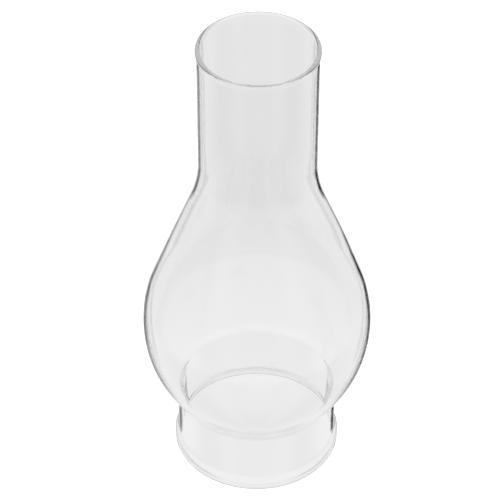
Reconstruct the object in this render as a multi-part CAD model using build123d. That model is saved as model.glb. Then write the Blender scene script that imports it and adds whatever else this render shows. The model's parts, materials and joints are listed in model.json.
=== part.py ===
from build123d import *
import math
import os

# Glass chimney for an oil lamp: one piece of clear blown glass, open at both ends.
# It has a short straight base that drops into a burner's gallery, a pear-shaped bulb
# around the flame, a straight taper, and a tubular neck with a fire-polished bead.
# Units are millimetres. The origin is the centre of the ring that it stands on, +Z is up.

# Overall
CHIMNEY_HEIGHT = 216.0      # the 8-1/2 inch size
WALL = 1.6                  # glass thickness, the same all the way up

# Foot: the fitter band is the widest part of the base, and the gallery holds it
FITTER_RADIUS = 73.4 / 2
BAND_TOP = 2.1              # height at which the fitter band ends and the flare begins
FOOT_ROUND = 0.5            # melted edges on each side of the flat ring it stands on
FLARE_LOW_BEND = 3.0        # the flare leaves the band on this radius
FLARE_HIGH_BEND = 8.0       # and runs into the base wall on this one
BASE_RADIUS = 70.4 / 2

# Bulb: one circular arc from the throat, past the widest point, to the taper
BULB_RADIUS = 99.0 / 2
BULB_HEIGHT = 70.2          # height of the widest point
BULB_ARC = 59.5             # radius of the bulb's outline
THROAT_BEND = 6.2           # radius of the waist between the base and the bulb

# Taper and neck
TAPER_ANGLE = 20.5          # degrees from the axis
NECK_RADIUS = 49.4 / 2
NECK_BEND = 66.0            # radius of the long curve between the taper and the neck

# Bead: the glass thickens outwards where the top rim was melted round
BEAD_RADIUS = 50.4 / 2
BEAD_LOW_BEND = 5.5         # the bead leaves the neck on this radius
BEAD_HIGH_BEND = 1.75       # and reaches its full width on this one


def turn_of_step(step, low_bend, high_bend):
    """Degrees that each of two tangent arcs turns to shift a vertical line sideways by a step."""
    return math.degrees(math.acos(1 - step / (low_bend + high_bend)))


def rise_of_step(turn, low_bend, high_bend):
    """Height that those two arcs take up."""
    return (low_bend + high_bend) * math.sin(math.radians(turn))


# Base flare: both sides of the wall share these arc centres, and all those below
flare_turn = turn_of_step(FITTER_RADIUS - BASE_RADIUS, FLARE_LOW_BEND, FLARE_HIGH_BEND)
flare_top = BAND_TOP + rise_of_step(flare_turn, FLARE_LOW_BEND, FLARE_HIGH_BEND)
flare_low_centre = (FITTER_RADIUS - FLARE_LOW_BEND, BAND_TOP)
flare_high_centre = (BASE_RADIUS + FLARE_HIGH_BEND, flare_top)

# Throat: its arc touches the base wall and, from outside, the bulb's arc
bulb_centre = (BULB_RADIUS - BULB_ARC, BULB_HEIGHT)
throat_run = BASE_RADIUS + THROAT_BEND - bulb_centre[0]
throat_turn = math.degrees(math.acos(throat_run / (BULB_ARC + THROAT_BEND)))
throat_drop = throat_run * math.tan(math.radians(throat_turn))
throat_centre = (BASE_RADIUS + THROAT_BEND, BULB_HEIGHT - throat_drop)

# Neck: the taper leaves the bulb's arc as a tangent and would meet the neck at a corner
taper = math.radians(TAPER_ANGLE)
taper_foot_radius = bulb_centre[0] + BULB_ARC * math.cos(taper)
taper_foot_height = bulb_centre[1] + BULB_ARC * math.sin(taper)
neck_corner = taper_foot_height + (taper_foot_radius - NECK_RADIUS) / math.tan(taper)
neck_bend_centre = (NECK_RADIUS + NECK_BEND, neck_corner + NECK_BEND * math.tan(taper / 2))

# Bead: a half-round cap over the full thickness, widest at the height of its centre
bore_radius = NECK_RADIUS - WALL
cap_round = (BEAD_RADIUS - bore_radius) / 2
cap_height = CHIMNEY_HEIGHT - cap_round
bead_turn = turn_of_step(BEAD_RADIUS - NECK_RADIUS, BEAD_LOW_BEND, BEAD_HIGH_BEND)
bead_foot = cap_height - rise_of_step(bead_turn, BEAD_LOW_BEND, BEAD_HIGH_BEND)


def wall_side(inset, top):
    """One side of the wall in section, from the fitter band up the neck to the height top."""
    flare_low = CenterArc(flare_low_centre, FLARE_LOW_BEND - inset, 0, flare_turn)
    flare_high = CenterArc(
        flare_high_centre, FLARE_HIGH_BEND + inset, 180 + flare_turn, -flare_turn
    )
    throat = CenterArc(throat_centre, THROAT_BEND + inset, 180, -throat_turn)
    bulb = CenterArc(bulb_centre, BULB_ARC - inset, -throat_turn, throat_turn + TAPER_ANGLE)
    neck_bend = CenterArc(neck_bend_centre, NECK_BEND + inset, 180 + TAPER_ANGLE, -TAPER_ANGLE)
    Line((FITTER_RADIUS - inset, FOOT_ROUND), flare_low @ 0)
    Line(flare_high @ 1, throat @ 0)
    Line(bulb @ 1, neck_bend @ 0)
    Line(neck_bend @ 1, (NECK_RADIUS - inset, top))


def foot():
    """The flat ring that the chimney stands on, with its two melted edges."""
    outer = CenterArc((FITTER_RADIUS - FOOT_ROUND, FOOT_ROUND), FOOT_ROUND, -90, 90)
    inner = CenterArc((FITTER_RADIUS - WALL + FOOT_ROUND, FOOT_ROUND), FOOT_ROUND, 180, 90)
    Line(inner @ 1, outer @ 0)


def bead():
    """The bead at the top of the neck, from the outside round to the bore."""
    CenterArc((NECK_RADIUS + BEAD_LOW_BEND, bead_foot), BEAD_LOW_BEND, 180, -bead_turn)
    CenterArc((BEAD_RADIUS - BEAD_HIGH_BEND, cap_height), BEAD_HIGH_BEND, -bead_turn, bead_turn)
    CenterArc((bore_radius + cap_round, cap_height), cap_round, 0, 180)


with BuildPart() as chimney:
    with BuildSketch(Plane.XZ):
        with BuildLine():
            foot()
            wall_side(0, bead_foot)
            bead()
            wall_side(WALL, cap_height)
        make_face()
    revolve(axis=Axis.Z)

os.makedirs("parts", exist_ok=True)
export_step(chimney.part, "parts/glass_chimney.step")

print(f"base wall {flare_top:.2f} to {throat_centre[1]:.2f} mm up")
print(f"neck bore {neck_bend_centre[1]:.2f} to {cap_height:.2f} mm up, radius {bore_radius:.2f} mm")
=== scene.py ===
import json
import math

import bpy
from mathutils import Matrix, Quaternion, Vector, noise


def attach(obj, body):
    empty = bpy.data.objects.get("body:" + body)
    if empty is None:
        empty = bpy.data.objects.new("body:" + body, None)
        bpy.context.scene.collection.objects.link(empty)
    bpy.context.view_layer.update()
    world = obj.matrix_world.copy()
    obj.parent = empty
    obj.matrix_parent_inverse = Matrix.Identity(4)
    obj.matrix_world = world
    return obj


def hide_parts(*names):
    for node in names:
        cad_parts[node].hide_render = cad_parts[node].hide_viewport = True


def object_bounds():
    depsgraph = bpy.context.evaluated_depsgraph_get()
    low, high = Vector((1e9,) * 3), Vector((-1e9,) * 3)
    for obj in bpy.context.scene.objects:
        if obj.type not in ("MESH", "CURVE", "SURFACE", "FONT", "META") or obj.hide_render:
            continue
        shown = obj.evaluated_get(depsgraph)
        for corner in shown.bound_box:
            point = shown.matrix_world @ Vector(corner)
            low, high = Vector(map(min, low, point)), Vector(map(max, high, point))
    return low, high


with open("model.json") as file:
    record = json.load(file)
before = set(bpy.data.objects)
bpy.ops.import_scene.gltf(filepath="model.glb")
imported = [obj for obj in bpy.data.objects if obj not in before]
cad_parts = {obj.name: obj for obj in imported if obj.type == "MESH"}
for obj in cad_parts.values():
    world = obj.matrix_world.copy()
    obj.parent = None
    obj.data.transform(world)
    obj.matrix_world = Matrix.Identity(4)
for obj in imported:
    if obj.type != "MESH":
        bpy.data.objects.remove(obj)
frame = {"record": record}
cad_low, cad_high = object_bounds()

# Glass lamp chimney: one piece of clear blown glass. The mesh repeats the CAD part's wall
# section, in millimetres, finely enough to bend light cleanly, and adds a slight
# unevenness that the CAD part leaves out.
MM = 0.001
mounts = {mount["name"]: mount for mount in frame["record"]["mounts"]}

# Overall
CHIMNEY_HEIGHT = cad_high.z / MM
BORE_RADIUS = mounts["neck_bore"]["dims"]["r_mm"]
NECK_RADIUS = 49.4 / 2
WALL = NECK_RADIUS - BORE_RADIUS

# Foot and base
FITTER_RADIUS = mounts["fitter"]["dims"]["r_mm"]
BAND_TOP = 2.1
FOOT_ROUND = 0.5
FLARE_LOW_BEND = 3.0
FLARE_HIGH_BEND = 8.0
BASE_RADIUS = 70.4 / 2

# Bulb
BULB_RADIUS = 99.0 / 2
BULB_HEIGHT = 70.2
BULB_ARC = 59.5
THROAT_BEND = 6.2

# Taper, neck and bead
TAPER_ANGLE = 20.5
NECK_BEND = 66.0
BEAD_RADIUS = 50.4 / 2
BEAD_LOW_BEND = 5.5
BEAD_HIGH_BEND = 1.75

# Unevenness of blown glass. The swell and the lean at the two heights suit one view of the
# real outline. How they run round the back, the thinning and the ripple are guesses
BULB_THINNING = 0.2         # taken off the inside of the wall where it is thinnest
SHOULDER_HEIGHT = 112.0
SHOULDER_SPREAD = 14.0
SHOULDER_SWELL = 0.25       # all round
SHOULDER_LEAN = 0.15        # and this much more towards +X, less towards -X
BELLY_HEIGHT = 53.0
BELLY_SPREAD = 10.5
BELLY_SWELL = 0.1
BELLY_LEAN = -0.1
RIPPLE = 0.05               # mean depth of the slow ripples, which lie inside the true shape
RIPPLE_LENGTH = 45.0
RIPPLE_FREE = 3.0           # the foot and the bead have no ripple over this height
RIPPLE_EASE = 12.0          # and it grows to its full depth over this much more

# Mesh fineness
SEGMENTS = 240
LONG_STEP = 2.5             # between rows on the large arcs
STRAIGHT_STEP = 4.0         # and on straight stretches
SHORT_STEP = 0.5            # and on the throat and the bead
EDGE_STEP = 0.2             # and round the melted edges


def arc(centre, radius, start, turn, step=LONG_STEP):
    """Points (radius, height) along an arc, from start degrees through turn degrees."""
    count = max(6, math.ceil(abs(math.radians(turn)) * radius / step))
    angles = [math.radians(start + turn * i / count) for i in range(count + 1)]
    return [(centre[0] + radius * math.cos(a), centre[1] + radius * math.sin(a)) for a in angles]


def run(a, b, step=STRAIGHT_STEP):
    """Points along a straight stretch, its two ends left out."""
    count = max(1, math.ceil(math.dist(a, b) / step))
    return [
        (a[0] + (b[0] - a[0]) * i / count, a[1] + (b[1] - a[1]) * i / count)
        for i in range(1, count)
    ]


def turn_of_step(step, low_bend, high_bend):
    """Degrees that each of two tangent arcs turns to shift a vertical line sideways by a step."""
    return math.degrees(math.acos(1 - step / (low_bend + high_bend)))


def rise_of_step(turn, low_bend, high_bend):
    """Height that those two arcs take up."""
    return (low_bend + high_bend) * math.sin(math.radians(turn))


# Base flare: both sides of the wall share these arc centres, and all those below
flare_turn = turn_of_step(FITTER_RADIUS - BASE_RADIUS, FLARE_LOW_BEND, FLARE_HIGH_BEND)
flare_top = BAND_TOP + rise_of_step(flare_turn, FLARE_LOW_BEND, FLARE_HIGH_BEND)
flare_low_centre = (FITTER_RADIUS - FLARE_LOW_BEND, BAND_TOP)
flare_high_centre = (BASE_RADIUS + FLARE_HIGH_BEND, flare_top)

# Throat: its arc touches the base wall and, from outside, the bulb's arc
bulb_centre = (BULB_RADIUS - BULB_ARC, BULB_HEIGHT)
throat_run = BASE_RADIUS + THROAT_BEND - bulb_centre[0]
throat_turn = math.degrees(math.acos(throat_run / (BULB_ARC + THROAT_BEND)))
throat_drop = throat_run * math.tan(math.radians(throat_turn))
throat_centre = (BASE_RADIUS + THROAT_BEND, BULB_HEIGHT - throat_drop)

# Neck: the taper leaves the bulb's arc as a tangent and would meet the neck at a corner
taper = math.radians(TAPER_ANGLE)
taper_foot_radius = bulb_centre[0] + BULB_ARC * math.cos(taper)
taper_foot_height = bulb_centre[1] + BULB_ARC * math.sin(taper)
neck_corner = taper_foot_height + (taper_foot_radius - NECK_RADIUS) / math.tan(taper)
neck_bend_centre = (NECK_RADIUS + NECK_BEND, neck_corner + NECK_BEND * math.tan(taper / 2))

# Bead: a half-round cap over the full thickness, widest at the height of its centre
cap_round = (BEAD_RADIUS - BORE_RADIUS) / 2
cap_height = CHIMNEY_HEIGHT - cap_round
bead_turn = turn_of_step(BEAD_RADIUS - NECK_RADIUS, BEAD_LOW_BEND, BEAD_HIGH_BEND)
bead_foot = cap_height - rise_of_step(bead_turn, BEAD_LOW_BEND, BEAD_HIGH_BEND)


def wall_side(inset, top):
    """One side of the wall in section, from the fitter band up the neck to the height top."""
    flare_low = arc(flare_low_centre, FLARE_LOW_BEND - inset, 0, flare_turn, SHORT_STEP)
    flare_high = arc(flare_high_centre, FLARE_HIGH_BEND + inset, 180 + flare_turn, -flare_turn)
    throat = arc(throat_centre, THROAT_BEND + inset, 180, -throat_turn, SHORT_STEP)
    bulb = arc(bulb_centre, BULB_ARC - inset, -throat_turn, throat_turn + TAPER_ANGLE)
    neck_bend = arc(neck_bend_centre, NECK_BEND + inset, 180 + TAPER_ANGLE, -TAPER_ANGLE)
    base_run = run(flare_high[-1], throat[0])
    taper_run = run(bulb[-1], neck_bend[0])
    neck_run = run(neck_bend[-1], (NECK_RADIUS - inset, top))
    return flare_low + flare_high[1:] + base_run + throat + bulb[1:] + taper_run + neck_bend + neck_run


def foot():
    """The melted edges of the flat ring that the chimney stands on: inner one, outer one."""
    inner_centre = (FITTER_RADIUS - WALL + FOOT_ROUND, FOOT_ROUND)
    outer_centre = (FITTER_RADIUS - FOOT_ROUND, FOOT_ROUND)
    inner = arc(inner_centre, FOOT_ROUND, 180, 90, EDGE_STEP)
    outer = arc(outer_centre, FOOT_ROUND, -90, 90, EDGE_STEP)
    return inner, outer


def bead():
    """The bead at the top of the neck, from the outside round to the bore."""
    low_centre = (NECK_RADIUS + BEAD_LOW_BEND, bead_foot)
    high_centre = (BEAD_RADIUS - BEAD_HIGH_BEND, cap_height)
    low = arc(low_centre, BEAD_LOW_BEND, 180, -bead_turn, SHORT_STEP)
    high = arc(high_centre, BEAD_HIGH_BEND, -bead_turn, bead_turn, EDGE_STEP)
    cap = arc((BORE_RADIUS + cap_round, cap_height), cap_round, 0, 180, EDGE_STEP)
    return low + high[1:] + cap[1:]


def thinning(z):
    """How much the inside is blown away from its place in the CAD part, at height z."""
    share = (z - throat_centre[1]) / (neck_bend_centre[1] - throat_centre[1])
    return BULB_THINNING * math.sin(math.pi * min(1, max(0, share))) ** 2


def section():
    """The whole wall in section, as one closed loop of (radius, height) points."""
    inner_foot, outer_foot = foot()
    outside = wall_side(0, bead_foot)
    inside = [(r + thinning(z), z) for r, z in wall_side(WALL, cap_height)]
    return inner_foot + outer_foot + outside + bead() + inside[::-1]


def hump(z, height, spread):
    """A smooth rise and fall, 1 at a height and next to nothing two spreads from it."""
    return math.exp(-(((z - height) / spread) ** 2))


def unevenness(r, z, turn):
    """How far hand work leaves the wall outside its true circle, at a height and a turn."""
    lean = math.cos(turn)
    shoulder = (SHOULDER_SWELL + SHOULDER_LEAN * lean) * hump(z, SHOULDER_HEIGHT, SHOULDER_SPREAD)
    belly = (BELLY_SWELL + BELLY_LEAN * lean) * hump(z, BELLY_HEIGHT, BELLY_SPREAD)
    place = Vector((r * math.cos(turn), r * math.sin(turn), z)) / RIPPLE_LENGTH
    ripple = -RIPPLE * (1 + noise.noise(place))
    past_end = min(z, CHIMNEY_HEIGHT - z) - RIPPLE_FREE
    ease = min(1, max(0, past_end / RIPPLE_EASE))
    return shoulder + belly + ripple * ease


def lathe(name, points, segments):
    """A closed mesh of revolution about Z from a closed section."""
    turns = [2 * math.pi * i / segments for i in range(segments)]
    vertices = []
    for r, z in points:
        for turn in turns:
            out = (r + unevenness(r, z, turn)) * MM
            vertices.append((out * math.cos(turn), out * math.sin(turn), z * MM))
    faces = []
    rows = len(points)
    for row in range(rows):
        above = (row + 1) % rows
        for i in range(segments):
            j = (i + 1) % segments
            faces.append(
                (row * segments + i, row * segments + j, above * segments + j, above * segments + i)
            )
    mesh = bpy.data.meshes.new(name)
    mesh.from_pydata(vertices, [], faces)
    mesh.shade_smooth()
    piece = bpy.data.objects.new(name, mesh)
    bpy.context.scene.collection.objects.link(piece)
    return piece


def math_node(tree, operation, *values):
    """A Math node's output. Each value is a number or a socket."""
    node = tree.nodes.new("ShaderNodeMath")
    node.operation = operation
    for socket, value in zip(node.inputs, values):
        if isinstance(value, bpy.types.NodeSocket):
            tree.links.new(value, socket)
        else:
            socket.default_value = value
    return node.outputs[0]


def fade(tree, value, start, end, before, after):
    """A smooth change from before to after as value goes from start to end."""
    node = tree.nodes.new("ShaderNodeMapRange")
    node.interpolation_type = "SMOOTHSTEP"
    for name, number in zip(("Value", "From Min", "From Max", "To Min", "To Max"),
                            (value, start, end, before, after)):
        if isinstance(number, bpy.types.NodeSocket):
            tree.links.new(number, node.inputs[name])
        else:
            node.inputs[name].default_value = number
    return node.outputs[0]


def noise_texture(tree, scale, detail):
    """Noise over the object's own coordinates, with scale in waves per metre."""
    coords = tree.nodes.new("ShaderNodeTexCoord")
    texture = tree.nodes.new("ShaderNodeTexNoise")
    texture.inputs["Scale"].default_value = scale
    texture.inputs["Detail"].default_value = detail
    tree.links.new(coords.outputs["Object"], texture.inputs["Vector"])
    return texture.outputs["Fac"]


# Glass surface: faint haze in patches, and the shallow ripple of a fire-polished skin
GLASS_IOR = 1.5
HAZE_SCALE = 45.0
HAZE_DETAIL = 3
HAZE_START = 0.55           # noise value where the haze begins
HAZE_FULL = 0.75
HAZE_ROUGHNESS = 0.01
SKIN_SCALE = 160.0
SKIN_DETAIL = 1
SKIN_DEPTH = 0.00001


def glass_material():
    material = bpy.data.materials.new("clear_glass")
    material.use_nodes = True
    tree = material.node_tree
    shader = tree.nodes["Principled BSDF"]
    shader.inputs["Base Color"].default_value = (1, 1, 1, 1)
    shader.inputs["IOR"].default_value = GLASS_IOR
    shader.inputs["Transmission Weight"].default_value = 1.0
    patches = noise_texture(tree, HAZE_SCALE, HAZE_DETAIL)
    haze = fade(tree, patches, HAZE_START, HAZE_FULL, 0.0, HAZE_ROUGHNESS)
    tree.links.new(haze, shader.inputs["Roughness"])
    skin = tree.nodes.new("ShaderNodeBump")
    skin.inputs["Distance"].default_value = SKIN_DEPTH
    tree.links.new(noise_texture(tree, SKIN_SCALE, SKIN_DETAIL), skin.inputs["Height"])
    tree.links.new(skin.outputs["Normal"], shader.inputs["Normal"])
    return material


chimney = lathe("glass_chimney_body", section(), SEGMENTS)
chimney.data.materials.append(glass_material())
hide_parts("glass_chimney")
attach(chimney, "root")


# Floor: wide enough for every view
FLOOR_HALF = 6.0
FLOOR_COLOUR = (0.9, 0.9, 0.9, 1)
FLOOR_ROUGHNESS = 0.8
FLOOR_GLOW = 0.8


def floor():
    """A pale floor that the glass itself doesn't see, so that it shows the studio's light alone."""
    h = FLOOR_HALF
    mesh = bpy.data.meshes.new("floor")
    mesh.from_pydata([(-h, -h, 0), (h, -h, 0), (h, h, 0), (-h, h, 0)], [], [(0, 1, 2, 3)])
    obj = bpy.data.objects.new("floor", mesh)
    bpy.context.scene.collection.objects.link(obj)
    material = bpy.data.materials.new("pale_floor")
    material.use_nodes = True
    shader = material.node_tree.nodes["Principled BSDF"]
    shader.inputs["Base Color"].default_value = FLOOR_COLOUR
    shader.inputs["Roughness"].default_value = FLOOR_ROUGHNESS
    shader.inputs["Emission Color"].default_value = (1, 1, 1, 1)
    shader.inputs["Emission Strength"].default_value = FLOOR_GLOW
    mesh.materials.append(material)
    obj.visible_transmission = False
    obj.visible_glossy = False


floor()


# Studio: an even tent of soft light. Low down it is brightest behind the chimney, as seen by
# the camera, and dim in front, so that each wall the eye looks through takes a little light away
TENT = 0.8
OVERHEAD = 0.7
BACK_LOW = 0.81
BACK_LOWEST = 0.875
FRONT_LOW = 0.45

# Where those lights blend into each other: the rise or the depth of a direction, as sines
LOWEST_BLEND = (-0.71, -0.65)
TENT_BLEND = (-0.58, -0.45)
OVERHEAD_BLEND = (0.2, 0.5)
DEPTH_BLEND = (-0.25, 0.35)

# Pairs of narrow dark cards draw the glass's edges. Each pair stands to the right and left of
# one line of sight: the first pair for the camera below, and the weak ones for four other
# views. From anywhere else the edges are drawn less clearly.
# Each: azimuth in degrees, rise of the cards' two ends, light of the right and the left card
CARD_ASIDE = math.radians(26)
CARD_HALF = math.radians(6)
CARD_SOFT = math.radians(3)
CARD_SOFT_RISE = 0.08
CARD_SIDE_BLEND = 0.1
MAIN_CARDS = (90, -0.77, -0.57, 0.0, 0.2)
OTHER_CARDS = (
    (135, -0.48, -0.36, 0.8, 0.8),
    (315, -0.32, -0.20, 0.8, 0.8),
    (180, -0.10, 0.0, 0.8, 0.8),
    (90, -0.10, 0.0, 0.8, 0.8),
)

# Two tall soft lamps in front of the chimney leave faint upright streaks on it
LAMP_AZIMUTHS = (230, 310)
LAMP_HALF = math.radians(5)
LAMP_SOFT = math.radians(12)
LAMP = 0.1
LAMP_TOP_BLEND = (0.0, 0.15)


def aside_of(tree, azimuth, degrees):
    """Signed angle from an azimuth in degrees, negative to its right."""
    offset = math_node(tree, "SUBTRACT", azimuth, math.radians(degrees))
    return math_node(tree, "WRAP", offset, math.pi, -math.pi)


def card_pair(tree, azimuth, rise, pair):
    """How much light gets past one pair of cards, from 0 to 1."""
    sight, bottom, top, right, left = pair
    side = aside_of(tree, azimuth, sight)
    off_card = math_node(tree, "SUBTRACT", math_node(tree, "ABSOLUTE", side), CARD_ASIDE)
    off_card = math_node(tree, "ABSOLUTE", off_card)
    off_middle = math_node(tree, "SUBTRACT", rise, (top + bottom) / 2)
    off_middle = math_node(tree, "ABSOLUTE", off_middle)
    half = (top - bottom) / 2
    card = fade(tree, side, -CARD_SIDE_BLEND, CARD_SIDE_BLEND, right, left)
    past_end = fade(tree, off_middle, half, half + CARD_SOFT_RISE, card, 1.0)
    return fade(tree, off_card, CARD_HALF, CARD_HALF + CARD_SOFT, past_end, 1.0)


def lamp(tree, azimuth, rise, degrees):
    """The extra light of one tall lamp, which reaches from near the floor to eye level."""
    off_lamp = math_node(tree, "ABSOLUTE", aside_of(tree, azimuth, degrees))
    height = fade(tree, rise, *LAMP_TOP_BLEND, LAMP, 0.0)
    return fade(tree, off_lamp, LAMP_HALF, LAMP_HALF + LAMP_SOFT, height, 0.0)


def studio():
    world = bpy.data.worlds.new("studio")
    bpy.context.scene.world = world
    world.use_nodes = True
    tree = world.node_tree
    coords = tree.nodes.new("ShaderNodeTexCoord")
    split = tree.nodes.new("ShaderNodeSeparateXYZ")
    tree.links.new(coords.outputs["Generated"], split.inputs[0])
    depth = split.outputs["Y"]
    rise = split.outputs["Z"]
    azimuth = math_node(tree, "ARCTAN2", depth, split.outputs["X"])
    back = fade(tree, rise, *LOWEST_BLEND, BACK_LOWEST, BACK_LOW)
    low = fade(tree, depth, *DEPTH_BLEND, FRONT_LOW, back)
    light = fade(tree, rise, *TENT_BLEND, low, TENT)
    light = fade(tree, rise, *OVERHEAD_BLEND, light, OVERHEAD)
    for degrees in LAMP_AZIMUTHS:
        light = math_node(tree, "ADD", light, lamp(tree, azimuth, rise, degrees))
    for pair in (MAIN_CARDS, *OTHER_CARDS):
        light = math_node(tree, "MULTIPLY", light, card_pair(tree, azimuth, rise, pair))
    # The backdrop itself stays white: the camera sees it so, and only the glass sees the tent
    path = tree.nodes.new("ShaderNodeLightPath")
    seen = fade(tree, path.outputs["Is Camera Ray"], 0.0, 1.0, light, 1.0)
    background = tree.nodes["Background"]
    background.inputs["Color"].default_value = (1, 1, 1, 1)
    tree.links.new(seen, background.inputs["Strength"])


studio()

# Camera
CAM_ELEVATION = math.radians(41.66)
CAM_DISTANCE = 0.9933
CAM_TARGET = Vector((-0.0031, 0, 0.1095))
CAM_ROLL = math.radians(0.13)
CAM_LENS = 168.7
SENSOR_WIDTH = 36.0
CAM_REACH = 50


def camera():
    data = bpy.data.cameras.new("camera")
    data.lens = CAM_LENS
    data.sensor_width = SENSOR_WIDTH
    data.clip_end = CAM_REACH
    obj = bpy.data.objects.new("camera", data)
    bpy.context.scene.collection.objects.link(obj)
    back = Vector((0, -math.cos(CAM_ELEVATION), math.sin(CAM_ELEVATION)))
    obj.location = CAM_TARGET + back * CAM_DISTANCE
    obj.rotation_mode = "QUATERNION"
    obj.rotation_quaternion = (-back).to_track_quat("-Z", "Y") @ Quaternion((0, 0, 1), CAM_ROLL)
    bpy.context.scene.camera = obj


camera()

# Light is piped a long way inside the wall before it leaves at the rim
LIGHT_BOUNCES = 128
bpy.context.scene.view_settings.view_transform = "Standard"
bpy.context.scene.cycles.max_bounces = LIGHT_BOUNCES
bpy.context.scene.cycles.transmission_bounces = LIGHT_BOUNCES
bpy.context.scene.cycles.glossy_bounces = LIGHT_BOUNCES
